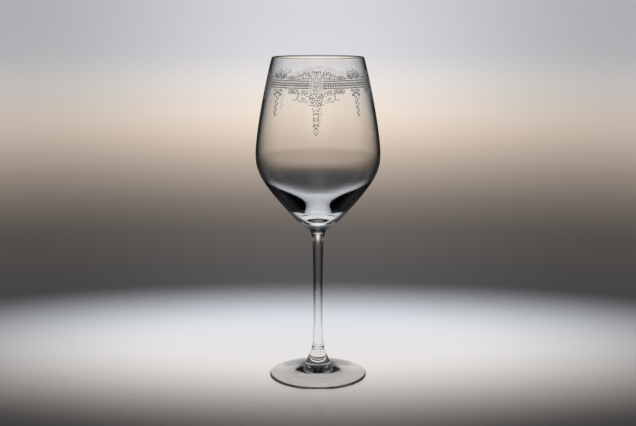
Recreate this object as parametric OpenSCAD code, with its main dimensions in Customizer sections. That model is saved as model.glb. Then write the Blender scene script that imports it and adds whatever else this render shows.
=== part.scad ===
// Stemmed goblet of clear crystal: a blown bowl, a drawn stem and a round foot, welded hot at two seams.
// The goblet stands on the table at z = 0 and its axis is the z axis. Sizes are in millimetres, angles in degrees.

/* [Heights] */
// Height of the foot from the table to the seam under the stem
foot_h = 19.6; // [16:0.1:28]
// Length of the stem between its two seams
stem_h = 91; // [70:1:130]
// Height of the bowl from the seam on the stem to the rim
bowl_h = 119.4; // [100:0.1:140]

/* [Bowl] */
// Outer diameter of the rim
rim_d = 64.2; // [54:0.1:74]
// Wall thickness at the rim
rim_wall = 1.1; // [0.8:0.05:2]
// Lean of the wall at the rim, inwards from upright
rim_lean = 16; // [5:1:25]
// Outer diameter of the belly, the widest place
belly_d = 88; // [78:1:100]
// Wall thickness at the belly
belly_wall = 1.4; // [0.9:0.05:2]
// Height of the belly above the seam on the stem
belly_h = 51.4; // [44:0.1:60]
// Lean of the flank below the belly, inwards from upright
flank_lean = 42.7; // [36:0.1:48]
// Outer diameter where the flank turns in to the base
base_d = 30.4; // [26:0.1:36]
// Height above the seam where the flank turns in to the base
base_h = 4; // [3:0.1:6]
// Lean of the base at the seam, inwards from upright
base_lean = 54; // [46:1:70]
// Thickness of the solid base under the hollow
base_t = 5.6; // [4.5:0.1:7]
// Place on the flank where its wall is measured, as a share of the way from base to belly
flank_place = 0.43; // [0.35:0.01:0.5]
// Wall thickness at that place
flank_wall = 2.05; // [1.5:0.05:2.6]
// How much further than the outside the hollow leans there
flank_turn = 5.3; // [0:0.1:8]
// Diameter of the hollow where it narrows to its small cup
cup_d = 30.9; // [26:0.1:35]
// Height above the seam where it narrows to its small cup
cup_h = 13.2; // [11:0.1:15]
// Lean of the hollow at the cup, inwards from upright
cup_lean = 46.8; // [40:0.1:52]

/* [Curves of the bowl] */
// How far the lean of the rim carries down the wall
rim_reach = 16; // [8:1:24]
// How far the upright of the belly carries up the wall
shoulder_reach = 14; // [8:1:24]
// How far the upright of the belly carries down the outside
belly_reach = 12.7; // [8:0.1:18]
// How far the lean of the flank carries up the outside
flank_reach = 36; // [28:1:42]
// How far the leans of the flank and base carry round the base
base_reach = 1.5; // [1:0.1:2.2]
// How far the upright of the belly carries down the hollow
hollow_reach = 10.1; // [6:0.1:14]
// How far the lean of the hollow's flank carries up from its measured place
flank_rise = 4.4; // [2:0.1:8]
// How far the lean of the hollow's flank carries down from its measured place
flank_drop = 6.1; // [3:0.1:9]
// How far the lean of the cup carries up the flank
cup_rise = 8.3; // [4:0.1:10]
// How far the lean of the cup carries down to its floor
cup_drop = 7.6; // [4:0.1:9]
// How far the level floor of the hollow carries out from the axis
floor_reach = 4.8; // [3:0.1:7]

/* [Stem] */
// Diameter of the seam between bowl and stem
head_d = 19.2; // [16:0.1:22]
// Lean of the stem's head at the seam, inwards from upright
head_lean = 52; // [40:1:60]
// Diameter of the neck under the head
neck_d = 8.2; // [7:0.1:10]
// Depth of the neck below the seam
neck_depth = 10.8; // [9:0.1:13]
// Lean of the neck, inwards from upright
neck_lean = 6.4; // [4:0.1:8]
// How far the lean of the head carries down into the flare over the neck
head_reach = 4.8; // [4:0.1:6]
// How far the lean of the neck carries up into the flare
neck_rise = 8; // [6:0.1:9]
// How far the lean of the neck carries down the shaft
neck_reach = 5; // [3:0.1:10]
// Diameter of the waist, the thinnest place of the shaft
waist_d = 6; // [5:0.1:7]
// Height of the waist above the seam on the foot
waist_h = 18.2; // [15:0.1:24]
// How far the upright of the waist carries up the shaft
waist_rise = 5; // [3:0.1:10]
// How far the upright of the waist carries down the shaft
waist_drop = 6.4; // [4:0.1:8]
// Diameter of the bead at the foot of the stem
bead_d = 9.2; // [8.4:0.1:10.4]
// Height of the bead above the seam on the foot
bead_h = 1.3; // [0.8:0.1:2.5]
// Lean of the stem where it runs out into the bead
bead_lean = 44; // [30:1:50]
// How far that lean carries up the shaft
bead_reach = 1.4; // [1:0.1:2]
// Diameter of the seam between stem and foot
toe_d = 8.5; // [7.5:0.1:9.5]

/* [Foot] */
// Diameter of the foot
foot_d = 70; // [60:1:84]
// Thickness of the rounded edge of the foot
edge_t = 1.5; // [1.2:0.05:2.2]
// Width of the flat ring that the goblet stands on
ring_w = 1.8; // [1.2:0.1:3]
// Rise of the underside inside that ring, from level
under_lean = 7; // [5:0.5:8]
// How far that rise carries in under the disc
ring_reach = 14; // [10:0.5:17]
// Height of the middle of the underside above the table
under_depth = 5; // [3.5:0.1:5.5]
// How far the level middle of the underside carries out from the axis
under_reach = 6; // [4:0.1:9]
// Lean of the cone where it meets the stem, inwards from upright
cone_top_lean = 22; // [14:0.5:30]
// Diameter of the cone at its foot, where it starts to flare
cone_d = 17; // [14:0.1:20]
// Height of the foot of the cone above the table
cone_h = 10; // [8.5:0.1:11.5]
// Lean of the cone at its foot, inwards from upright
cone_lean = 22; // [14:0.5:30]
// How far the lean of the cone carries down into the disc
cone_reach = 1.6; // [1:0.1:4]
// Rise of the disc at its edge, from level
disc_lean = 7; // [5:0.5:9]
// How far that rise carries in towards the cone
disc_reach = 17; // [13:0.5:19]

/* [Hidden] */

// Steps in each curve and each rounded edge of an outline, and round the axis
curve_steps = 20;
arc_steps = 10;
$fn = 128;

glass = [0.88, 0.93, 0.94, 0.5];

// Heights of the seams and of the rim above the table
foot_seam_z = foot_h;
bowl_seam_z = foot_seam_z + stem_h;
rim_z = bowl_seam_z + bowl_h;

// Direction of a line that leans by an angle from upright, outwards on its way up
function up_out(lean) = [sin(lean), cos(lean)];

// Direction of a line that leans by an angle from upright, inwards on its way up
function up_in(lean) = [-sin(lean), cos(lean)];

// Point at a share t of the way along a cubic curve from a to d, pulled towards b and c
function along(a, b, c, d, t) =
    let (s = 1 - t) s * s * s * a + 3 * s * s * t * b + 3 * s * t * t * c + t * t * t * d;

// Lean of that curve there, outwards from upright on its way up
function lean_along(a, b, c, d, t) =
    let (s = 1 - t, run = s * s * (b - a) + 2 * s * t * (c - b) + t * t * (d - c)) atan2(run[0], run[1]);

// Points of the whole curve; the last point is left to the next stretch
function curve(a, b, c, d) = [for (i = [0 : curve_steps - 1]) along(a, b, c, d, i / curve_steps)];

// Points of an arc about a centre, from one angle to another; the last point is left to the next stretch
function arc(centre, r, from, to) =
    [for (i = [0 : arc_steps - 1])
        let (a = from + (to - from) * i / arc_steps)
            centre + r * [cos(a), sin(a)]];

// Solid of revolution with the given outline, in radius and height
module lathe(outline) {
    color(glass)
        rotate_extrude()
            polygon(outline);
}

// Blown bowl: rounded base, flank, belly, tapering wall, fire-polished lip and a hollow that ends in a small cup
module bowl() {
    seam = [head_d / 2, bowl_seam_z];
    base = [base_d / 2, bowl_seam_z + base_h];
    belly = [belly_d / 2, bowl_seam_z + belly_h];
    lip_r = rim_wall / 2;
    lip = [rim_d / 2 - lip_r, rim_z - lip_r];
    lip_out = lip + lip_r * [cos(rim_lean), sin(rim_lean)];
    lip_in = lip - lip_r * [cos(rim_lean), sin(rim_lean)];
    belly_in = belly - [belly_wall, 0];
    flank_from = base + flank_reach * up_out(flank_lean);
    flank_to = belly - [0, belly_reach];
    out_lean = lean_along(base, flank_from, flank_to, belly, flank_place);
    in_lean = out_lean + flank_turn;
    flank_in = along(base, flank_from, flank_to, belly, flank_place) + flank_wall * [-cos(out_lean), sin(out_lean)];
    cup = [cup_d / 2, bowl_seam_z + cup_h];
    floor_mid = [0, bowl_seam_z + base_t];
    lathe(concat(
        [[0, bowl_seam_z]],
        curve(seam, seam + base_reach * up_out(base_lean), base - base_reach * up_out(flank_lean), base),
        curve(base, flank_from, flank_to, belly),
        curve(belly, belly + [0, shoulder_reach], lip_out - rim_reach * up_in(rim_lean), lip_out),
        arc(lip, lip_r, rim_lean, rim_lean + 180),
        curve(lip_in, lip_in - rim_reach * up_in(rim_lean), belly_in + [0, shoulder_reach], belly_in),
        curve(belly_in, belly_in - [0, hollow_reach], flank_in + flank_rise * up_out(in_lean), flank_in),
        curve(flank_in, flank_in - flank_drop * up_out(in_lean), cup + cup_rise * up_out(cup_lean), cup),
        curve(cup, cup - cup_drop * up_out(cup_lean), floor_mid + [floor_reach, 0], floor_mid),
        [floor_mid]
    ));
}

// Drawn stem: bead on the foot, slender shaft, neck and flared head under the bowl
module stem() {
    toe = [toe_d / 2, foot_seam_z];
    bead = [bead_d / 2, foot_seam_z + bead_h];
    waist = [waist_d / 2, foot_seam_z + waist_h];
    neck = [neck_d / 2, bowl_seam_z - neck_depth];
    head = [head_d / 2, bowl_seam_z];
    lathe(concat(
        [[0, foot_seam_z]],
        curve(toe, toe + [(bead_d - toe_d) / 2, bead_h / 3], bead - [0, bead_h / 3], bead),
        curve(bead, bead + bead_reach * up_in(bead_lean), waist - [0, waist_drop], waist),
        curve(waist, waist + [0, waist_rise], neck - neck_reach * up_out(neck_lean), neck),
        curve(neck, neck + neck_rise * up_out(neck_lean), head - head_reach * up_out(head_lean), head),
        [head],
        [[0, bowl_seam_z]]
    ));
}

// Foot: cone under the stem that runs out like a trumpet into a thin disc with a rounded edge, and an underside
// that rises from the standing ring and levels out under the cone
module foot() {
    toe = [toe_d / 2, foot_seam_z];
    cone = [cone_d / 2, cone_h];
    cone_round = norm(toe - cone) / 3;
    edge_r = edge_t / 2;
    edge = [foot_d / 2 - edge_r, edge_r];
    edge_top = edge + edge_r * up_out(disc_lean);
    ring = [edge[0] - ring_w, 0];
    under_mid = [0, under_depth];
    lathe(concat(
        curve(under_mid, under_mid + [under_reach, 0], ring + ring_reach * up_in(90 - under_lean), ring),
        [ring],
        arc(edge, edge_r, -90, 90 - disc_lean),
        curve(edge_top, edge_top + disc_reach * up_in(90 - disc_lean), cone - cone_reach * up_in(cone_lean), cone),
        curve(cone, cone + cone_round * up_in(cone_lean), toe - cone_round * up_in(cone_top_lean), toe),
        [toe],
        [[0, foot_seam_z]]
    ));
}

bowl();
stem();
foot();
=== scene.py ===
# %% [markdown]
# # A stemmed goblet of clear crystal
#
# The goblet is three pieces of glass, welded hot: a blown bowl, a drawn stem and a round foot. Under the rim
# runs an etched lace border with hanging motifs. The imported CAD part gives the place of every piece, so this
# lesson starts from it and only dresses it: smooth glass, etched lines, a pale table and soft light.

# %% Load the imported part
import math

import bpy
import numpy as np
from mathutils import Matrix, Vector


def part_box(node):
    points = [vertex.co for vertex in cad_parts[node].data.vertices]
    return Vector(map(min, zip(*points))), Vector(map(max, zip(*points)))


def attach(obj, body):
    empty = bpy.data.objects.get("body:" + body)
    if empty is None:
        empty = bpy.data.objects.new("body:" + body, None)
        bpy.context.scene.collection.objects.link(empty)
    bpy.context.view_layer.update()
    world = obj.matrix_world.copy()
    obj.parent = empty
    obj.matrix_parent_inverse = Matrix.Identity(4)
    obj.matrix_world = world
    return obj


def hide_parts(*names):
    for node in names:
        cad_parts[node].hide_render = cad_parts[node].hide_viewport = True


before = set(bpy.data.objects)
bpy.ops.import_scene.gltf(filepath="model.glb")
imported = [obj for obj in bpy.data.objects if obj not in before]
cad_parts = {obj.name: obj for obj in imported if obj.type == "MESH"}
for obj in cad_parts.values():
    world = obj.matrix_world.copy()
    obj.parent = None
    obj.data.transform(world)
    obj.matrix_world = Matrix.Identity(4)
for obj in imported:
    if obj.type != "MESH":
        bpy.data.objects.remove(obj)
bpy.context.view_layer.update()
mm = 0.001
print("CAD nodes:", len(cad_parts))

# %% [markdown]
# ## Camera
#
# The goblet is seen from a little above, so that the rim and the foot show as flat ellipses. The ratio of
# their heights to their widths gives the tilt, and their two sizes give the distance. The lens then follows
# from the height of the goblet in the picture.

# %% Place the camera
scene = bpy.context.scene
camera_distance = 766.5 * mm
camera_height = 259.6 * mm
camera_tilt = math.radians(10.345)
picture_width = 636
focal_pixels = 1094
sensor_width = 36

camera = bpy.data.objects.new("camera", bpy.data.cameras.new("camera"))
scene.collection.objects.link(camera)
camera.location = (0, -camera_distance, camera_height)
camera.rotation_euler = (math.pi / 2 - camera_tilt, 0, 0)
camera.data.sensor_width = sensor_width
camera.data.lens = sensor_width * focal_pixels / picture_width
camera.data.clip_start = 10 * mm
bpy.context.scene.camera = camera
print("lens in mm:", round(camera.data.lens, 2))

# %% [markdown]
# ## Node helpers
#
# Materials and the world are node trees. A few small helpers keep the wiring short: one adds a node and feeds
# its inputs, by value or by the socket of another node, and the others do a step of arithmetic, ease a value
# from one level to another, blend two values, or follow a value through the stops of a colour ramp.

# %% Helpers for node trees
def add_node(tree, kind, inputs=(), **settings):
    """Adds a node, sets its properties, then sets or links each input given by its name or index."""
    node = tree.nodes.new(kind)
    for name, value in settings.items():
        setattr(node, name, value)
    for key, value in dict(inputs).items():
        if isinstance(value, bpy.types.NodeSocket):
            tree.links.new(value, node.inputs[key])
        else:
            node.inputs[key].default_value = value
    return node


def arithmetic(tree, operation, first, second):
    """One Math node on two values or sockets, returned as its output socket."""
    return add_node(tree, "ShaderNodeMath", {0: first, 1: second}, operation=operation).outputs[0]


def ease(tree, value, low, high, at_low, at_high):
    """Eases a socket from at_low to at_high while it runs from low to high."""
    node = add_node(
        tree,
        "ShaderNodeMapRange",
        {"Value": value, "From Min": low, "From Max": high, "To Min": at_low, "To Max": at_high},
        interpolation_type="SMOOTHSTEP",
    )
    return node.outputs["Result"]


def blend(tree, factor, first, second):
    """Blends two values or sockets by a factor."""
    inputs = {"Factor": factor, "A": first, "B": second}
    return add_node(tree, "ShaderNodeMix", inputs, data_type="FLOAT").outputs["Result"]


def graded(tree, value, stops, unit=1.0):
    """Colour ramp that follows a socket through (place, colour or grey) stops, placed in the unit."""
    low = stops[0][0]
    high = stops[-1][0]
    reach = {"Value": value, "From Min": low * unit, "From Max": high * unit}
    position = add_node(tree, "ShaderNodeMapRange", reach).outputs["Result"]
    node = add_node(tree, "ShaderNodeValToRGB", {0: position})
    elements = node.color_ramp.elements
    while len(elements) < len(stops):
        elements.new(0.5)
    for element, (place, colour) in zip(elements, stops):
        element.position = (place - low) / (high - low)
        element.color = (*colour, 1) if isinstance(colour, tuple) else (colour, colour, colour, 1)
    return node.outputs["Color"]


print("node helpers ready")

# %% [markdown]
# ## Studio
#
# Clear glass shows only what is around it, so the studio does most of the work. A photographer lights glass
# from behind: a pale screen stands behind it and the sides are left dark, because the edge of the glass bends
# the view towards the side and so draws itself as a dark line. Lamps and cards could do this, but each of
# them shows as a hard shape in the glass. So the world is the studio here: its nodes work out how bright the
# screen is from the direction of a ray. From the bottom up it is pale far below, dark behind the table's far
# side, warm and bright a little below the horizon, cool above it, and dark overhead. The stops are elevations
# in degrees, each with its colour.

# %% Colours of the screen
screen_stops = [
    (-40, (0.620, 0.615, 0.610)),
    (-34, (0.480, 0.472, 0.468)),
    (-29, (0.230, 0.224, 0.223)),
    (-25, (0.110, 0.102, 0.102)),
    (-20, (0.100, 0.092, 0.092)),
    (-17, (0.100, 0.098, 0.110)),
    (-15, (0.112, 0.110, 0.122)),
    (-13, (0.150, 0.135, 0.130)),
    (-11, (0.240, 0.200, 0.170)),
    (-9.5, (0.360, 0.290, 0.235)),
    (-8, (0.530, 0.425, 0.340)),
    (-7, (0.680, 0.552, 0.450)),
    (-6, (0.880, 0.725, 0.600)),
    (-5, (0.960, 0.830, 0.720)),
    (-3.5, (0.900, 0.850, 0.820)),
    (-2, (0.740, 0.735, 0.770)),
    (0, (0.700, 0.705, 0.750)),
    (6, (0.740, 0.745, 0.780)),
    (10, (0.600, 0.605, 0.640)),
    (14, (0.330, 0.335, 0.350)),
    (19, (0.100, 0.100, 0.105)),
    (25, (0.040, 0.040, 0.042)),
    (60, (0.020, 0.020, 0.021)),
]
print("screen stops:", len(screen_stops))

# %% [markdown]
# Round the goblet the screen stands as panels with dark gaps between them, on four sides, so that the goblet
# is drawn alike from each. Low down, closer panels stand at every eighth of a turn, so that the glass stays
# clear from the corners too. Overhead the panels widen into a canopy, and below them the light is weaker. The
# stops are degrees from the middle of a panel, each with its brightness. They fold over, so that one list
# serves all the panels.

# %% Brightness of the panels
side_fold = math.radians(90)
corner_fold = math.radians(22.5)
panel_stops = [
    (0, 1.00),
    (3, 0.95),
    (6, 0.74),
    (9, 0.52),
    (12, 0.34),
    (16, 0.18),
    (25, 0.05),
    (40, 0.015),
    (76, 0.015),
    (82, 0.55),
    (86, 0.90),
    (90, 1.00),
]
corner_stops = panel_stops[:6] + [(22.5, 0.05)]
canopy_stops = [
    (0, 1.00),
    (15, 1.00),
    (25, 0.55),
    (40, 0.12),
    (55, 0.02),
    (78, 0.02),
    (90, 0.60),
]
low_stops = [
    (0, 0.64),
    (8, 0.60),
    (16, 0.44),
    (26, 0.22),
    (40, 0.02),
    (76, 0.02),
    (90, 0.30),
]
print("panel stops:", len(panel_stops), len(corner_stops), len(canopy_stops), len(low_stops))

# %% [markdown]
# The light path says how a ray came here. Its transmission depth counts the glass surfaces on the way: two
# through solid glass, such as the stem, and four through both walls of the bowl. In a real studio the screen
# is near, and the stem stands lower than the bowl, so it sees a lower part of the screen. The world is far
# away and can't show that, so rays through solid glass look a little lower here, and see less of the colour.

# %% Directions and light paths
solid_surfaces = 2
bowl_surfaces = 4
solid_drop = math.radians(3)
solid_colour = 0.3

world = bpy.data.worlds.new("studio")
scene.world = world
world.use_nodes = True
tree = world.node_tree
tree.nodes.clear()
path = add_node(tree, "ShaderNodeLightPath")
by_camera = path.outputs["Is Camera Ray"]
by_gloss = path.outputs["Is Glossy Ray"]
through = path.outputs["Is Transmission Ray"]
mirrors = path.outputs["Glossy Depth"]
surfaces = path.outputs["Transmission Depth"]
entered = arithmetic(tree, "GREATER_THAN", surfaces, 0.0)
beyond_solid = arithmetic(tree, "GREATER_THAN", surfaces, float(solid_surfaces))
solid = arithmetic(tree, "SUBTRACT", entered, beyond_solid)

direction = add_node(tree, "ShaderNodeTexCoord").outputs["Generated"]
way = add_node(tree, "ShaderNodeSeparateXYZ", {0: direction})
azimuth = arithmetic(tree, "ARCTAN2", way.outputs["X"], way.outputs["Y"])
elevation = arithmetic(tree, "ARCSINE", way.outputs["Z"], 0.0)
elevation = arithmetic(tree, "SUBTRACT", elevation, arithmetic(tree, "MULTIPLY", solid, solid_drop))
off_side = arithmetic(tree, "PINGPONG", azimuth, side_fold)
off_corner = arithmetic(tree, "PINGPONG", azimuth, corner_fold)


def by_elevation(low, high, at_low, at_high):
    """Level that eases from at_low to at_high between two elevations in degrees."""
    return ease(tree, elevation, math.radians(low), math.radians(high), at_low, at_high)


print("world nodes for directions:", len(tree.nodes))

# %% [markdown]
# What the glass sees: the panels at the height of the horizon, the canopy above them, the weaker low part
# below them and a pale ground far below. Light that was mirrored inside the glass comes from the dark sides
# of the room, and light that was mirrored many times has gone a long way through glass, so both are dark.
# That keeps the wedges in the thick base of the bowl dark, as they are on the real one.

# %% What the glass sees
degree = math.radians(1)
one_wall_corners = 0.3
low_corners = 0.6
mirrored_level = 0.03
ground_level = 0.9
first_faded_mirror = 2
last_faded_mirror = 5
faded_level = 0.02

two_walls = ease(tree, surfaces, solid_surfaces, bowl_surfaces, one_wall_corners, 1.0)
corners = graded(tree, off_corner, corner_stops, degree)
lowered = arithmetic(tree, "MULTIPLY", two_walls, by_elevation(-4, 0, 1.0, 0.0))
panels = blend(tree, lowered, graded(tree, off_side, panel_stops, degree), corners)
mirrored = arithmetic(tree, "MINIMUM", mirrors, 1.0)
level_view = blend(tree, mirrored, panels, mirrored_level)

canopy = graded(tree, off_side, canopy_stops, degree)
glass_view = blend(tree, by_elevation(4, 12, 0.0, 1.0), level_view, canopy)
corner_share = arithmetic(tree, "MULTIPLY", two_walls, low_corners)
low_panels = arithmetic(tree, "MULTIPLY", corners, corner_share)
low_view = arithmetic(tree, "MAXIMUM", graded(tree, off_side, low_stops, degree), low_panels)
glass_view = blend(tree, by_elevation(-13, -9.5, 1.0, 0.0), glass_view, low_view)

ground = by_elevation(-32, -24, ground_level, 0.0)
unmirrored = arithmetic(tree, "SUBTRACT", 1.0, mirrored)
glass_view = blend(tree, arithmetic(tree, "MULTIPLY", ground, unmirrored), glass_view, ground_level)
faded = ease(tree, mirrors, first_faded_mirror, last_faded_mirror, 1.0, faded_level)
glass_view = arithmetic(tree, "MULTIPLY", glass_view, faded)
print("world nodes with the glass view:", len(tree.nodes))

# %% [markdown]
# The camera sees the same screen without gaps, only falling off a little to the sides and towards the table,
# and slightly paler. Matt surfaces are lit by an even white dome instead, so that their colours come out as
# they are written. The satin gloss of the table mixes the two.

# %% What the camera sees and what lights matt surfaces
screen_middle = 0.95
screen_side = 0.60
screen_half_width = math.radians(16)
screen_foot = 0.52
haze = 0.10
haze_colour = (0.78, 0.78, 0.80, 1)
satin_share = 0.4
dome_light = 1.0

camera_view = ease(tree, off_corner, 0.0, screen_half_width, screen_middle, screen_side)
camera_view = arithmetic(tree, "MULTIPLY", camera_view, by_elevation(-11.5, -6.5, screen_foot, 1.0))
camera_view = blend(tree, ground, camera_view, ground_level)
strength = blend(tree, by_camera, glass_view, camera_view)

screen = graded(tree, elevation, screen_stops, degree)
less_colour = ease(tree, solid, 0.0, 1.0, 1.0, solid_colour)
tinted = add_node(tree, "ShaderNodeHueSaturation", {"Saturation": less_colour, "Color": screen})
hazed = arithmetic(tree, "MULTIPLY", by_camera, haze)
shown = add_node(
    tree,
    "ShaderNodeMix",
    {"Factor": hazed, "A": tinted.outputs["Color"], "B": haze_colour},
    data_type="RGBA",
)

seen = arithmetic(tree, "MAXIMUM", arithmetic(tree, "MAXIMUM", by_camera, by_gloss), through)
matt = arithmetic(tree, "MINIMUM", path.outputs["Diffuse Depth"], 1.0)
seen = arithmetic(tree, "MULTIPLY", seen, arithmetic(tree, "SUBTRACT", 1.0, matt))
satin = arithmetic(tree, "SUBTRACT", by_gloss, path.outputs["Is Singular Ray"])
satin = arithmetic(tree, "MAXIMUM", satin, 0.0)
seen = arithmetic(tree, "SUBTRACT", seen, arithmetic(tree, "MULTIPLY", satin, satin_share))
backdrop = add_node(tree, "ShaderNodeBackground", {"Color": shown.outputs["Result"], "Strength": strength})
dome = add_node(tree, "ShaderNodeBackground", {"Color": (1, 1, 1, 1), "Strength": dome_light})
mix = add_node(tree, "ShaderNodeMixShader", {0: seen, 1: dome.outputs[0], 2: backdrop.outputs[0]})
add_node(tree, "ShaderNodeOutputWorld", {"Surface": mix.outputs[0]})
scene.view_settings.view_transform = "Standard"
print("world nodes in all:", len(tree.nodes))

# %% [markdown]
# The table is a pale, slightly glossy top in a painted pool of light, with painted warm light on its near side
# and painted cool light on its far side. It fades out before its edge into the dark of the world, which paints
# the falling off of the pool and keeps a hard line from showing behind the glass. The camera sees the pool
# twice as wide as it is deep. Seen through glass the pool reaches farther, so that the clear glass shows
# enough of the pale table. The polished outside of the glass mirrors the screen and not the table, and light
# that was mirrored several times inside the glass shows little of it, which draws the dark line along the
# foot's edge.

# %% Finish of the table
pool_centre = (0, 0.08, 0)
fade_start = 0.05
fade_end = 0.21
pool_squeeze = 0.5
through_stem = 0.88
through_bowl = 0.68
first_dim_mirror = 2
last_dim_mirror = 4
dim_share = 0.85
table_index = 1.5
# Pale colour of the table with painted warm light on its near side and painted cool light on its far side, by
# depth in metres.
table_colour_and_light_stops = [
    (-0.10, (0.84, 0.72, 0.64)),
    (-0.03, (0.85, 0.78, 0.73)),
    (0.05, (0.86, 0.84, 0.835)),
    (0.13, (0.80, 0.83, 0.88)),
    (0.20, (0.76, 0.80, 0.88)),
]


def empty_finish(name):
    """New material with an empty node tree, returned with that tree."""
    material = bpy.data.materials.new(name)
    material.use_nodes = True
    material.node_tree.nodes.clear()
    return material, material.node_tree


def painted_pool_fade(tree, place):
    """How far the table has faded out at a place, which paints the edge of the pool of light, for the kind of
    ray that looks at it.
    """
    path = add_node(tree, "ShaderNodeLightPath")
    surfaces = path.outputs["Transmission Depth"]
    squeeze = ease(tree, path.outputs["Is Camera Ray"], 0.0, 1.0, 1.0, pool_squeeze)
    widths = add_node(tree, "ShaderNodeCombineXYZ", {"X": squeeze, "Y": 1.0, "Z": 1.0}).outputs[0]
    place = add_node(tree, "ShaderNodeVectorMath", {0: place, 1: widths}, operation="MULTIPLY").outputs[0]
    away = add_node(tree, "ShaderNodeVectorMath", {0: place, 1: pool_centre}, operation="DISTANCE")
    nearer = arithmetic(
        tree,
        "MULTIPLY",
        ease(tree, surfaces, 0.0, solid_surfaces, 1.0, through_stem),
        ease(tree, surfaces, solid_surfaces, bowl_surfaces, 1.0, through_bowl),
    )
    distance = arithmetic(tree, "MULTIPLY", away.outputs["Value"], nearer)
    fade = ease(tree, distance, fade_start, fade_end, 0.0, 1.0)
    mirror = arithmetic(tree, "SUBTRACT", path.outputs["Is Glossy Ray"], path.outputs["Is Transmission Ray"])
    outside = arithmetic(tree, "COMPARE", surfaces, 0.0)
    fade = arithmetic(tree, "MAXIMUM", fade, arithmetic(tree, "MULTIPLY", mirror, outside))
    dim = ease(tree, path.outputs["Glossy Depth"], first_dim_mirror, last_dim_mirror, 0.0, dim_share)
    inside = arithmetic(tree, "GREATER_THAN", surfaces, 0.0)
    return arithmetic(tree, "MAXIMUM", fade, arithmetic(tree, "MULTIPLY", dim, inside))


def table_finish():
    """Pale, faintly uneven table top with painted warm and cool light, that fades out towards its edge as a
    painted pool of light.
    """
    material, tree = empty_finish("pale_table")
    place = add_node(tree, "ShaderNodeTexCoord").outputs["Object"]
    grain = add_node(tree, "ShaderNodeTexNoise", {"Vector": place, "Scale": 40.0, "Detail": 3.0})
    rough = ease(tree, grain.outputs["Fac"], 0.3, 0.7, 0.09, 0.13)
    depth = add_node(tree, "ShaderNodeSeparateXYZ", {0: place}).outputs["Y"]
    colour_and_light = graded(tree, depth, table_colour_and_light_stops)
    inputs = {"Base Color": colour_and_light, "Roughness": rough, "IOR": table_index}
    top = add_node(tree, "ShaderNodeBsdfPrincipled", inputs)
    clear = add_node(tree, "ShaderNodeBsdfTransparent")
    fade = painted_pool_fade(tree, place)
    mix = add_node(tree, "ShaderNodeMixShader", {0: fade, 1: top.outputs[0], 2: clear.outputs[0]})
    add_node(tree, "ShaderNodeOutputMaterial", {"Surface": mix.outputs[0]})
    return material


table_material = table_finish()
print("table nodes:", len(table_material.node_tree.nodes))

# %% Build the table
table_radius = 0.62
table_drop = 0.1 * mm
table_sides = 96
turns = [2 * math.pi * i / table_sides for i in range(table_sides)]
table_mesh = bpy.data.meshes.new("table")
table_mesh.from_pydata(
    [(table_radius * math.cos(a), table_radius * math.sin(a), -table_drop) for a in turns],
    [],
    [list(range(table_sides))],
)
table_mesh.materials.append(table_material)
table = bpy.data.objects.new("table", table_mesh)
scene.collection.objects.link(table)
print("table radius in mm:", round(table_radius / mm))

# %% [markdown]
# ## Crystal
#
# Lead-free crystal is clear and colourless, with a refractive index close to that of window glass. A plain
# transmissive shader gives it. Blown glass is never quite even, so a very faint, wide ripple bends the
# surface. Where two pieces were welded, no surface is left inside the glass: the meeting faces take a clear
# finish that bends nothing. Light crosses many surfaces in such a glass, so it is followed for many bounces.

# %% Glass finishes
crystal_index = 1.52
crystal_tint = (0.990, 0.996, 0.994, 1)
ripple_scale = 28.0
ripple_strength = 0.006
ripple_height = 0.3 * mm
glass_bounces = 32


def crystal():
    """Clear polished crystal with the faint ripple of blown glass."""
    material, tree = empty_finish("clear_crystal")
    place = add_node(tree, "ShaderNodeTexCoord").outputs["Object"]
    wave = add_node(tree, "ShaderNodeTexNoise", {"Vector": place, "Scale": ripple_scale, "Detail": 1.0})
    ripple = add_node(
        tree,
        "ShaderNodeBump",
        {"Height": wave.outputs["Fac"], "Strength": ripple_strength, "Distance": ripple_height},
    )
    shader = add_node(
        tree,
        "ShaderNodeBsdfPrincipled",
        {
            "Base Color": crystal_tint,
            "Roughness": 0.0,
            "IOR": crystal_index,
            "Transmission Weight": 1.0,
            "Normal": ripple.outputs["Normal"],
        },
    )
    add_node(tree, "ShaderNodeOutputMaterial", {"Surface": shader.outputs[0]})
    return material


def fused_seam():
    """Clear finish of the faces inside a weld, where the glass goes on without a break."""
    material, tree = empty_finish("fused_seam")
    clear = add_node(tree, "ShaderNodeBsdfTransparent")
    add_node(tree, "ShaderNodeOutputMaterial", {"Surface": clear.outputs[0]})
    return material


crystal_finish = crystal()
seam_finish = fused_seam()
scene.cycles.max_bounces = glass_bounces
scene.cycles.transmission_bounces = glass_bounces
scene.cycles.glossy_bounces = glass_bounces
scene.cycles.transparent_max_bounces = 2 * glass_bounces
scene.cycles.blur_glossy = 0.0
print("glass index:", crystal_index)

# %% [markdown]
# ## Outlines
#
# A glass blower turns every piece about one axis, so each piece is one outline spun round. The outlines are
# short chains of smooth curves with the same sizes as the CAD solids. Radii and heights are in millimetres,
# and the heights of the two welds and the rim come from the imported part.

# %% Curves of the outlines
curve_steps = 40
arc_steps = 14
foot_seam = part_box("foot")[1][2] / mm
bowl_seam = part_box("stem")[1][2] / mm
rim_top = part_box("bowl")[1][2] / mm
print("welds and rim at", round(foot_seam, 2), round(bowl_seam, 2), round(rim_top, 2), "mm")


def point(radius, height):
    """Point of an outline, or a step along it."""
    return np.array([radius, height], dtype=float)


def up_out(lean):
    """Direction that leans outwards on its way up, by degrees from upright."""
    return point(math.sin(math.radians(lean)), math.cos(math.radians(lean)))


def up_in(lean):
    """Direction that leans inwards on its way up, by degrees from upright."""
    return point(-math.sin(math.radians(lean)), math.cos(math.radians(lean)))


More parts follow.
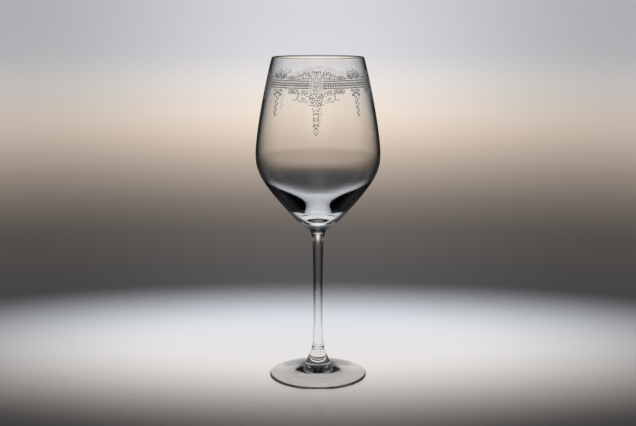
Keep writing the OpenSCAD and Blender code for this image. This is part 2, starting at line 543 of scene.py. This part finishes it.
def curve(a, b, c, d):
    """Cubic curve from a to d, pulled towards b and c, without its last point."""
    t = (np.arange(curve_steps) / curve_steps)[:, None]
    s = 1 - t
    return s**3 * a + 3 * s**2 * t * b + 3 * s * t**2 * c + t**3 * d


def arc(centre, radius, start, end):
    """Arc about a centre between two angles in degrees, without its last point."""
    a = np.radians(start + (end - start) * np.arange(arc_steps) / arc_steps)
    return centre + radius * np.stack([np.cos(a), np.sin(a)], axis=1)


def chain(*stretches):
    """One outline from single points and curved stretches."""
    return np.vstack([np.atleast_2d(s) for s in stretches])


# %% [markdown]
# The bowl: a rounded base, a flank that is nearly a cone, the belly, a wall that tapers to the rim and a lip
# that the flame has rounded. Inside, the hollow runs close behind the wall and then narrows to a small
# rounded floor, so that the glass grows thicker downwards. That thick base works as a lens and draws the dark
# wedges there, so its inner curve matters as much for the look as the outline does. A lean is in degrees from
# upright, and a reach, rise or drop says how far a curve keeps its direction.

# %% Outline of the bowl
head_radius = 9.6
base_lean = 54
base_reach = 1.5
flank_lean = 42.7
flank_reach = 36
belly_reach = 12.7
belly_wall = 1.4
shoulder_reach = 14
rim_radius = 32.1
rim_wall = 1.1
rim_lean = 16
rim_reach = 16
seam_edge = point(head_radius, bowl_seam)
base = point(15.2, bowl_seam + 4)
belly = point(44, bowl_seam + 51.4)
lip_radius = rim_wall / 2
lip = point(rim_radius - lip_radius, rim_top - lip_radius)
lip_across = lip_radius * point(math.cos(math.radians(rim_lean)), math.sin(math.radians(rim_lean)))
lip_outside = lip + lip_across
lip_inside = lip - lip_across
belly_inside = belly - point(belly_wall, 0)
flank_out = up_out(flank_lean)
outer_wall = chain(
    curve(belly, belly + point(0, shoulder_reach), lip_outside - rim_reach * up_in(rim_lean), lip_outside),
    lip_outside,
)
outside = chain(
    point(0, bowl_seam),
    curve(seam_edge, seam_edge + base_reach * up_out(base_lean), base - base_reach * flank_out, base),
    curve(base, base + flank_reach * flank_out, belly - point(0, belly_reach), belly),
    outer_wall[:-1],
    arc(lip, lip_radius, rim_lean, rim_lean + 180),
)
print("points outside the bowl:", len(outside))

# %% Outline of the hollow
hollow_reach = 10.1
flank_inside = point(35.1, bowl_seam + 31)
flank_inside_lean = 39.2
flank_rise = 4.4
flank_drop = 6.1
cup = point(15.45, bowl_seam + 13.2)
cup_lean = 46.8
cup_rise = 8.3
cup_drop = 7.6
hollow_floor = point(0, bowl_seam + 5.6)
floor_reach = 4.8
flank_up = up_out(flank_inside_lean)
cup_up = up_out(cup_lean)
inside = chain(
    curve(
        lip_inside,
        lip_inside - rim_reach * up_in(rim_lean),
        belly_inside + point(0, shoulder_reach),
        belly_inside,
    ),
    curve(
        belly_inside,
        belly_inside - point(0, hollow_reach),
        flank_inside + flank_rise * flank_up,
        flank_inside,
    ),
    curve(flank_inside, flank_inside - flank_drop * flank_up, cup + cup_rise * cup_up, cup),
    curve(cup, cup - cup_drop * cup_up, hollow_floor + point(floor_reach, 0), hollow_floor),
    hollow_floor,
)
bowl_outline = chain(outside, inside)
print("bowl outline points:", len(bowl_outline))

# %% [markdown]
# The stem is drawn out of the hot glass, so it is thinnest low down, and swells smoothly into the flared head
# under the bowl. A small bead shows where it was set down on the foot.

# %% Outline of the stem
toe = point(4.25, foot_seam)
bead = point(4.6, foot_seam + 1.3)
bead_round = 0.43
bead_lean = 44
bead_reach = 1.4
waist = point(3, foot_seam + 18.2)
waist_drop = 6.4
waist_rise = 5
neck = point(4.1, bowl_seam - 10.8)
neck_lean = 6.4
neck_reach = 5
neck_rise = 8
head_lean = 52
head_reach = 4.8
neck_up = up_out(neck_lean)
stem_outline = chain(
    point(0, foot_seam),
    curve(toe, point(bead[0], toe[1] + bead_round), bead - point(0, bead_round), bead),
    curve(bead, bead + bead_reach * up_in(bead_lean), waist - point(0, waist_drop), waist),
    curve(waist, waist + point(0, waist_rise), neck - neck_reach * neck_up, neck),
    curve(neck, neck + neck_rise * neck_up, seam_edge - head_reach * up_out(head_lean), seam_edge),
    seam_edge,
    point(0, bowl_seam),
)
print("stem outline points:", len(stem_outline))

# %% [markdown]
# The foot opens like a trumpet, from the cone that the stem stands on into a thin disc. Its edge is rounded
# by the flame. The underside follows the slope of the disc, so that the disc is an even pane, and levels out
# under the cone. The glass stands on the narrow flat ring inside its edge, so that it doesn't rock.

# %% Outline of the foot
foot_radius = 35
edge_radius = 0.75
ring_width = 1.8
ring_reach = 14
under = point(0, 5.0)
under_lean = 7
under_reach = 6
disc_lean = 7
disc_reach = 17
cone = point(8.5, 10)
cone_lean = 22
cone_reach = 1.6
edge = point(foot_radius - edge_radius, edge_radius)
edge_top = edge + edge_radius * up_out(disc_lean)
ring = point(edge[0] - ring_width, 0)
cone_up = up_in(cone_lean)
cone_round = math.dist(cone, toe) / 3
foot_outline = chain(
    curve(under, under + point(under_reach, 0), ring + ring_reach * up_in(90 - under_lean), ring),
    ring,
    arc(edge, edge_radius, -90, 90 - disc_lean),
    curve(edge_top, edge_top + disc_reach * up_in(90 - disc_lean), cone - cone_reach * cone_up, cone),
    curve(cone, cone + cone_round * cone_up, toe - cone_round * cone_up, toe),
    toe,
    point(0, foot_seam),
)
print("foot outline points:", len(foot_outline))

# %% [markdown]
# ## Turning the pieces
#
# The outline is spun into rings of points, and neighbouring rings are joined by faces. A screw modifier could
# do the same, but faces made here can take the seam finish where they lie inside a weld. Smooth shading hides
# the facets, and edges sharper than a soft bend stay crisp. Each piece is a closed body of glass that
# replaces its CAD solid.

# %% Turn bowl, stem and foot
turn_sides = 288
crisp_angle = math.radians(28)
on_axis = 1e-9


def turn(name, outline, welds):
    """Spins an outline that starts and ends on the axis; the outline steps in welds get the seam finish."""
    corners = []
    rings = []
    for radius, level in outline * mm:
        start = len(corners)
        if radius < on_axis:
            corners.append((0, 0, level))
            rings.append([start] * turn_sides)
            continue
        for i in range(turn_sides):
            a = 2 * math.pi * i / turn_sides
            corners.append((radius * math.sin(a), -radius * math.cos(a), level))
        rings.append(list(range(start, start + turn_sides)))
    faces = []
    finishes = []
    weld_steps = {w % (len(rings) - 1) for w in welds}
    for step, (low, high) in enumerate(zip(rings, rings[1:])):
        for i in range(turn_sides):
            j = (i + 1) % turn_sides
            faces.append(list(dict.fromkeys([low[i], low[j], high[j], high[i]])))
            finishes.append(1 if step in weld_steps else 0)
    mesh = bpy.data.meshes.new(name)
    mesh.from_pydata(corners, [], faces)
    mesh.materials.append(crystal_finish)
    mesh.materials.append(seam_finish)
    mesh.polygons.foreach_set("material_index", finishes)
    mesh.polygons.foreach_set("use_smooth", [True] * len(faces))
    mesh.set_sharp_from_angle(angle=crisp_angle)
    mesh.validate()
    piece = bpy.data.objects.new(name, mesh)
    scene.collection.objects.link(piece)
    print(name, "faces:", len(faces))
    return piece


for node_name, outline, welds in (
    ("bowl", bowl_outline, (0,)),
    ("stem", stem_outline, (0, -1)),
    ("foot", foot_outline, (-1,)),
):
    glass = turn("crystal_" + node_name, outline, welds)
    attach(glass, "root")
    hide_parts(node_name)

# %% [markdown]
# ## Etched border
#
# The border under the rim is etched: acid takes the polish off along a drawn line, so that the line scatters
# light and reads as a soft grey on the clear glass. That grey is painted shade in the line's own finish,
# standing for the dark room that the frosted line scatters. It is a lace band with eight hanging motifs: four
# large ones, each with an oval medallion, and four small ones between them. The scrolls, leaves and beads are
# common forms of such borders. A texture could draw them, but real lines keep their shape in the mesh. They
# are drawn flat first, as paths in millimetres along the border and in height, and then laid round the bowl.
# Each line is a rib a few hundredths of a millimetre high, which lets it have its own matt finish.

# %% Tools for drawing lines
line_lift = 0.008
ridge_lift = 0.03
dome_lift = 0.06
bead_sides = 8
leaf_taper = 0.85
vine_line = 0.6
small_dot = 0.85
large_dot = 1.15


class Drawing:
    """Etched lines drawn flat: corners are (along the border, height, lift off the glass), in millimetres."""

    def __init__(self):
        self.corners = []
        self.faces = []

    def line(self, path, width, taper=0.0):
        """Adds a low rib along a path. A taper near 1 draws its ends out to points, like a leaf."""
        path = np.asarray(path, dtype=float)
        closed = np.allclose(path[0], path[-1])
        if closed:
            path = path[:-1]
            along = np.roll(path, -1, axis=0) - np.roll(path, 1, axis=0)
        else:
            along = np.gradient(path, axis=0)
        along = along / np.linalg.norm(along, axis=1)[:, None]
        aside = np.stack([-along[:, 1], along[:, 0]], axis=1)
        place = np.linspace(-1, 1, len(path))[:, None]
        half = width / 2 * (1 - taper * place**2)
        first = len(self.corners)
        for centre, offset in zip(path, half * aside):
            self.corners.append((*(centre + offset), line_lift))
            self.corners.append((*centre, ridge_lift))
            self.corners.append((*(centre - offset), line_lift))
        steps = len(path) if closed else len(path) - 1
        for i in range(steps):
            a = first + 3 * i
            b = first + 3 * ((i + 1) % len(path))
            self.faces.append((a + 1, b + 1, b, a))
            self.faces.append((a + 2, b + 2, b + 1, a + 1))
            self.faces.append((a, b, b + 2, a + 2))
        if not closed:
            last = first + 3 * steps
            self.faces.append((first, first + 2, first + 1))
            self.faces.append((last + 2, last, last + 1))

    def leaf(self, path, width):
        """Adds a pointed leaf along a path."""
        self.line(path, width, leaf_taper)

    def bead(self, along, height, radius):
        """Adds a small etched dot, as a low dome."""
        first = len(self.corners)
        for i in range(bead_sides):
            a = 2 * math.pi * i / bead_sides
            self.corners.append((along + radius * math.cos(a), height + radius * math.sin(a), line_lift))
        self.corners.append((along, height, dome_lift))
        for i in range(bead_sides):
            self.faces.append((first + i, first + (i + 1) % bead_sides, first + bead_sides))
        self.faces.append(tuple(first + i for i in reversed(range(bead_sides))))

    def vine(self, path, width, dot=0.42, gap=1.8):
        """Adds a line with a row of dots on it, small and large in turn, like an etcher's stippling."""
        self.line(path, vine_line * width)
        steps = np.linalg.norm(np.diff(path, axis=0), axis=1)
        run = np.concatenate([[0], np.cumsum(steps)])
        for i, place in enumerate(np.arange(gap / 2, run[-1], gap)):
            along = np.interp(place, run, path[:, 0])
            height = np.interp(place, run, path[:, 1])
            self.bead(along, height, dot * (large_dot if i % 2 else small_dot))

    def mirror(self):
        """Adds the mirror image of everything drawn so far."""
        count = len(self.corners)
        self.corners += [(-along, height, lift) for along, height, lift in self.corners]
        self.faces += [tuple(count + c for c in reversed(face)) for face in self.faces]


print("lines stand", ridge_lift, "mm and dots", dome_lift, "mm off the glass")

# %% [markdown]
# Four kinds of path are enough for the whole border: a smooth path through a few knots, an oval, a straight
# stretch and a curl, which is a spiral that closes in to its eye.

# %% Paths to draw along
curl_close = 0.72


def flow(*knots, steps=6):
    """Smooth path through the knots."""
    p = np.array(knots, dtype=float)
    p = np.vstack([2 * p[0] - p[1], p, 2 * p[-1] - p[-2]])
    t = (np.arange(steps) / steps)[:, None]
    stretches = []
    for a, b, c, d in zip(p, p[1:], p[2:], p[3:]):
        bend = a - 2.5 * b + 2 * c - 0.5 * d
        twist = 1.5 * (b - c) + 0.5 * (d - a)
        stretches.append(b + t * (0.5 * (c - a) + t * (bend + t * twist)))
    return np.vstack([*stretches, p[-2]])


def oval(along, height, half_width, half_height, steps=40):
    """Closed oval about a centre."""
    a = 2 * np.pi * np.arange(steps + 1) / steps
    return np.stack([along + half_width * np.sin(a), height + half_height * np.cos(a)], axis=1)


def straight(start, end, step=0.7):
    """Straight path with a point about every step."""
    count = max(2, math.ceil(math.dist(start, end) / step) + 1)
    return np.linspace(start, end, count)


def curl(along, height, radius, start, sweep, steps=20):
    """Spiral about a centre, from a start angle by a sweep in degrees, that closes in to its eye."""
    share = np.linspace(0, 1, steps)
    a = np.radians(start + sweep * share)
    reach = radius * (1 - curl_close * share)
    return np.stack([along + reach * np.cos(a), height + reach * np.sin(a)], axis=1)


print("curls close in to", round(1 - curl_close, 2), "of their radius")

# %% [markdown]
# The band runs from medallion to medallion. Its two edges are double lines with a row of dots between them,
# and between the edges run two looped threads, like the edge of lace. One quarter is drawn and laid four
# times.

# %% Draw the band
border_radius = 36.2
quarter = border_radius * math.pi / 2
medallion_half = 4.7
band_end = quarter - medallion_half
loops = 28
loop_points = 12
thread_middle = 212.75
thread_swing = 0.7
thread_sway = 0.35
thread_width = 0.3

band = Drawing()
for height, width in ((215.2, 0.55), (213.7, 0.34), (211.8, 0.42), (210.4, 0.60)):
    band.line(straight((medallion_half, height), (band_end, height)), width)
period = (quarter - 2 * medallion_half) / loops
t = np.linspace(0, 2 * np.pi * loops, loops * loop_points + 1)
thread_along = medallion_half + period * t / (2 * np.pi) - thread_sway * np.sin(t)
for turned in (1, -1):
    thread_height = thread_middle - thread_swing * turned * np.cos(t)
    band.line(np.stack([thread_along, thread_height], axis=1), thread_width)
for i in range(loops):
    band.bead(medallion_half + period * (i + 0.5), 214.45, 0.3)
    band.bead(medallion_half + period * i, 211.1, 0.26)
print("band faces per quarter:", len(band.faces))

# %% [markdown]
# Short framed tablets sit on the band and hang under it, one of each on both sides of every large motif. Each
# holds a leaf, and three scallops hang from the lower one.

# %% Draw the tablets
frame_width = 0.4
leaf_inset = 0.6
leaf_width = 0.7
upper_place = 17.1
lower_place = 16.2
scallop_step = 1.9
scallop_width = 0.36
scallop_knots = ((-0.85, 207.4), (-0.5, 206.8), (0.5, 206.8), (0.85, 207.4))


def tablet(middle, half, low, high):
    """Adds a framed tablet with a leaf in it to the band."""
    frame_corners = ((-half, low), (half, low), (half, high), (-half, high), (-half, low))
    for (a, b), (c, d) in zip(frame_corners, frame_corners[1:]):
        band.line(straight((middle + a, b), (middle + c, d)), frame_width)
    level = (low + high) / 2
    leaf_start = (middle - half + leaf_inset, level)
    leaf_end = (middle + half - leaf_inset, level)
    band.leaf(straight(leaf_start, leaf_end), leaf_width)


for side in (0, 1):
    upper = upper_place + side * (quarter - 2 * upper_place)
    lower = lower_place + side * (quarter - 2 * lower_place)
    tablet(upper, 2.8, 216.3, 217.9)
    tablet(lower, 3.0, 207.7, 209.4)
    for i in (-1, 0, 1):
        centre = lower + scallop_step * i
        band.line(flow(*((centre + along, height) for along, height in scallop_knots)), scallop_width)
print("band faces per quarter with tablets:", len(band.faces))

# %% [markdown]
# The large motif stands over and under its medallion. Its right half is drawn first and then mirrored. The
# crest is a low arch of round scrolls and leaves that steps down to the band.

# %% Draw the crest of the large motif
large = Drawing()
for stalk, eye in (
    (((0.5, 217.8), (0.9, 218.9), (1.33, 219.87)), (2.5, 220.3, 1.25, 200)),
    (((4.2, 217.6), (5.6, 218.3), (6.88, 219.42)), (8.2, 219.9, 1.4, 200)),
    (((8.6, 216.9), (9.8, 217.7), (10.42, 218.69)), (11.5, 218.5, 1.1, 170)),
):
    large.vine(flow(*stalk), 0.42)
    large.vine(curl(*eye, -430), 0.42)
for leaf_knots in (
    ((0.3, 220.0), (0.9, 221.3), (1.9, 222.0)),
    ((4.4, 218.5), (5.1, 220.2), (5.3, 221.8)),
    ((3.4, 217.6), (4.6, 218.9), (6.3, 220.9)),
    ((12.4, 216.9), (13.2, 217.9), (13.4, 219.2)),
    ((8.9, 217.6), (9.6, 218.6), (9.8, 220.2)),
):
    large.leaf(flow(*leaf_knots), 0.6)
large.vine(flow((2.6, 217.1), (6.2, 216.8), (10.5, 216.4), (13.8, 216.2)), 0.3)
for along, height in ((3.9, 222.0), (6.6, 221.5), (10.2, 220.8), (12.9, 220.0), (3.3, 218.3), (7.4, 217.6)):
    large.bead(along, height, 0.32)
print("faces with the crest:", len(large.faces))

# %% [markdown]
# Below the band hangs a bracket on each side. It ends in an outward hook, and scrolls, a leaf and beads fill
# the space between it and the middle.

# %% Draw the brackets of the large motif
hook = ((12.4, 209.9), (12.35, 206.6), (12.4, 204.0), (13.1, 202.8), (14.3, 202.4))
wing = ((12.2, 203.3), (11.0, 202.0), (9.6, 201.5), (8.2, 201.9), (7.4, 202.8))
large.vine(flow(*hook), 0.46)
large.vine(straight((11.6, 209.4), (11.6, 204.4)), 0.26)
large.bead(14.8, 202.6, 0.4)
large.vine(flow(*wing), 0.44)
large.vine(curl(8.5, 203.4, 1.1, 200, -400), 0.4)
large.vine(curl(9.3, 207.9, 1.2, 60, 430), 0.42)
large.vine(straight((6.9, 206.2), (10.9, 206.2)), 0.28)
large.vine(flow((7.8, 209.5), (7.5, 207.2), (6.6, 205.4), (5.2, 204.6)), 0.36)
large.leaf(flow((6.3, 209.3), (6.5, 207.7), (5.7, 206.4)), 0.55)
for along, height in ((7.3, 201.2), (5.9, 200.9), (5.4, 202.2), (4.5, 199.7), (6.6, 202.6)):
    large.bead(along, height, 0.36)
large.vine(flow((0.9, 207.0), (2.2, 206.9), (3.6, 206.1), (4.3, 204.6), (3.6, 203.2)), 0.4)
large.vine(curl(2.5, 204.4, 1.2, 10, -420), 0.4)
large.vine(flow((0.5, 203.0), (1.6, 201.4), (2.7, 200.6), (3.5, 201.5), (2.8, 202.3)), 0.4)
print("faces with the brackets:", len(large.faces))

# %% [markdown]
# In the medallion, two rings of beads and a star of leaves lie round a small eye. Under it hangs a long,
# slender pendant of leaves and curls that crosses over itself and ends in a ring.

# %% Draw the medallion's filling and the pendant
medallion_height = 212.8


def round_medallion(half_width, half_height, angle):
    """Point on an oval about the middle of the medallion, at an angle from the top."""
    return half_width * math.sin(angle), medallion_height + half_height * math.cos(angle)


for i in range(8):
    angle = math.pi * (i + 0.5) / 8
    large.bead(*round_medallion(2.95, 3.45, angle), 0.36)
    large.bead(*round_medallion(2.1, 2.5, angle + 0.2), 0.3)
for i in range(4):
    angle = math.pi * (0.125 + i / 4)
    ray = straight(round_medallion(0.9, 1.0, angle), round_medallion(2.1, 2.4, angle), 0.3)
    large.leaf(ray, 0.6)
large.vine(flow((0.1, 198.4), (1.2, 198.9), (2.6, 199.3), (4.0, 199.2)), 0.4)
large.bead(2.2, 197.1, 0.36)
large.leaf(flow((0.2, 195.5), (1.2, 195.8), (2.2, 195.2)), 0.5)
large.vine(curl(0.9, 193.7, 0.8, 90, 400), 0.34)
large.leaf(flow((0.6, 191.9), (1.3, 190.6), (1.9, 188.8)), 0.6)
large.leaf(flow((0.2, 190.6), (0.7, 189.4), (0.5, 188.0)), 0.45)
large.vine(curl(1.0, 186.5, 0.7, 120, 400), 0.34)
crossing = ((2.2, 185.3), (1.6, 185.8), (0.8, 185.0), (0, 184.1), (-0.8, 183.2), (-1.5, 182.2))
large.vine(flow(*crossing), 0.36)
large.mirror()
print("faces of both halves:", len(large.faces))

# %% [markdown]
# What lies in the middle is drawn last: the crest's upright leaf, the medallion's ovals, the pendant's ring,
# and rows of dots that narrow downwards under the medallion and run down both sides of the pendant.

# %% Draw the middle of the large motif
large.leaf(straight((0, 218.4), (0, 222.2)), 0.5)
large.vine(oval(0, medallion_height, 3.6, 4.6), 0.3, 0.36, 1.6)
large.vine(oval(0, medallion_height, 0.8, 0.9, 20), 0.3)
for height in (206.6, 204.8, 202.6, 200.7, 196.6):
    large.bead(0, height, 0.34)
large.vine(oval(0, 180.7, 0.9, 0.95, 16), 0.36)
for row in range(6):
    height = 207.2 - 1.5 * row
    half = 5.4 - 0.55 * row
    for along in np.linspace(-half, half, 7 - row // 2):
        large.bead(along, height + 0.3 * math.sin(3 * along), 0.4)
for row in range(7):
    height = 197.4 - 1.9 * row
    half = 1.9 - 0.12 * row
    large.bead(half, height, 0.35)
    large.bead(-half, height - 0.6, 0.35)
print("large motif faces:", len(large.faces))

# %% [markdown]
# A pale line frames each medallion at its sides. It is etched more lightly than the rest and carries less
# painted shade, so it is a drawing of its own.

# %% Draw the medallion's frame
medallion = Drawing()
sides = oval(0, 212.4, 4.45, 6.2)[5:16]
for mirrored_side in (1, -1):
    medallion.line(sides * (mirrored_side, 1), 0.6)
print("medallion frame faces:", len(medallion.faces))

# %% [markdown]
# The small motif is a bud of leaves between two curls, with a bead on top. Under the band hang two small
# leaves, two short threads over a pair of curls, and a zigzag of dots that narrows downwards.

# %% Draw the small motif
thread = 0.7
thread_dot = 0.56
small = Drawing()
small.leaf(flow((0.5, 216.6), (1.2, 218.4), (1.1, 220.6)), 1.0)
small.leaf(flow((1.1, 216.4), (2.8, 217.9), (3.3, 220.1)), 0.9)
small.leaf(flow((3.4, 217.0), (4.4, 218.6), (4.6, 220.4)), 0.75)
small.vine(flow((1.2, 216.4), (2.9, 216.6), (3.9, 217.2)), thread, thread_dot)
small.vine(curl(5.0, 217.8, 1.2, 190, -400), thread, thread_dot)
small.leaf(flow((6.2, 216.4), (7.4, 216.9), (8.8, 217.0)), 0.65)
small.bead(2.2, 221.0, 0.55)
small.bead(5.6, 220.0, 0.5)
small.vine(straight((0.9, 209.6), (0.9, 206.2)), thread, thread_dot)
small.leaf(flow((1.6, 209.4), (3.0, 208.4), (4.6, 209.0)), 0.9)
small.vine(curl(2.2, 205.7, 1.25, 140, -400), thread, thread_dot)
small.mirror()
zigzag_step = 1.85
for i in range(7):
    height = 204.2 - zigzag_step * i
    side = (1 - 0.07 * i) * (1 if i % 2 else -1)
    small.bead(0.7 * side, height, 0.6)
    small.bead(-1.7 * side, height - 0.7, 0.5)
    small.line(straight((0.7 * side, height), (-0.7 * side, height - zigzag_step)), 0.3)
small.leaf(straight((0, 217.0), (0, 221.2)), 0.75)
for height, radius in ((222.2, 0.6), (207.6, 0.5), (192.0, 0.5)):
    small.bead(0, height, radius)
print("small motif faces:", len(small.faces))

# %% [markdown]
# The etched finish is matt with a fine grain. Its greys are painted shade, standing for the dark room that
# frosted glass scatters. The band and the small motifs get the darkest painted shade, the large ones a little
# less, and the frames of the medallions least. On the far side of the bowl the border is seen through the
# polished wall and reads only faintly, so the finish is nearly clear to rays that came through glass.

# %% Etched finishes
grain_scale = 2600.0
seen_through = 0.86


def etched(name, darkest, palest):
    """Matt, finely grained finish of etched glass, painted in shade between two greys."""
    material, tree = empty_finish(name)
    place = add_node(tree, "ShaderNodeTexCoord").outputs["Object"]
    grain = add_node(tree, "ShaderNodeTexNoise", {"Vector": place, "Scale": grain_scale, "Detail": 2.0})
    rough = ease(tree, grain.outputs["Fac"], 0.3, 0.7, 0.50, 0.70)
    frosted_shade = graded(tree, grain.outputs["Fac"], [(0, darkest), (1, palest)])
    inputs = {"Base Color": frosted_shade, "Roughness": rough, "IOR": crystal_index}
    shader = add_node(tree, "ShaderNodeBsdfPrincipled", inputs)
    clear = add_node(tree, "ShaderNodeBsdfTransparent")
    behind = add_node(tree, "ShaderNodeLightPath").outputs["Is Transmission Ray"]
    faint = arithmetic(tree, "MULTIPLY", behind, seen_through)
    mix = add_node(tree, "ShaderNodeMixShader", {0: faint, 1: shader.outputs[0], 2: clear.outputs[0]})
    add_node(tree, "ShaderNodeOutputMaterial", {"Surface": mix.outputs[0]})
    return material


# Greys of painted shade: darkest for the band and the small motifs, lighter for the large motifs, palest for
# the frames.
darkest_shaded_etch = etched("darkest_shaded_etch", 0.05, 0.15)
dark_shaded_etch = etched("dark_shaded_etch", 0.10, 0.22)
pale_etched = etched("pale_etched", 0.44, 0.54)
print("etched finishes:", darkest_shaded_etch.name, dark_shaded_etch.name, pale_etched.name)

# %% [markdown]
# Last, the lines are laid round the bowl: the flat drawing is bent to the radius that the wall has at each
# height. The front motif sits a little to the left of the middle, so the whole border is turned by that much.

# %% Lay the border round the bowl
border_turn = -1.8
large_angles = (0, 90, 180, 270)
small_angles = (45, 135, 225, 315)


def etch(name, drawing, finish, angles):
    """Lays a flat drawing round the bowl at each of the given angles in degrees, as one piece."""
    flat = np.array(drawing.corners)
    radius = np.interp(flat[:, 1], outer_wall[:, 1], outer_wall[:, 0]) + flat[:, 2]
    corners = []
    faces = []
    for angle in angles:
        first = len(corners)
        a = math.radians(border_turn + angle) + flat[:, 0] / border_radius
        laid = np.stack([radius * np.sin(a), -radius * np.cos(a), flat[:, 1]], axis=1) * mm
        corners += laid.tolist()
        faces += [[first + c for c in face] for face in drawing.faces]
    mesh = bpy.data.meshes.new(name)
    mesh.from_pydata(corners, [], faces)
    mesh.materials.append(finish)
    mesh.validate()
    piece = bpy.data.objects.new(name, mesh)
    scene.collection.objects.link(piece)
    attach(piece, "root")
    print(name, "faces:", len(faces))


etch("etched_band", band, darkest_shaded_etch, large_angles)
etch("etched_large_motifs", large, dark_shaded_etch, large_angles)
etch("etched_small_motifs", small, darkest_shaded_etch, small_angles)
etch("etched_medallion_frames", medallion, pale_etched, large_angles)
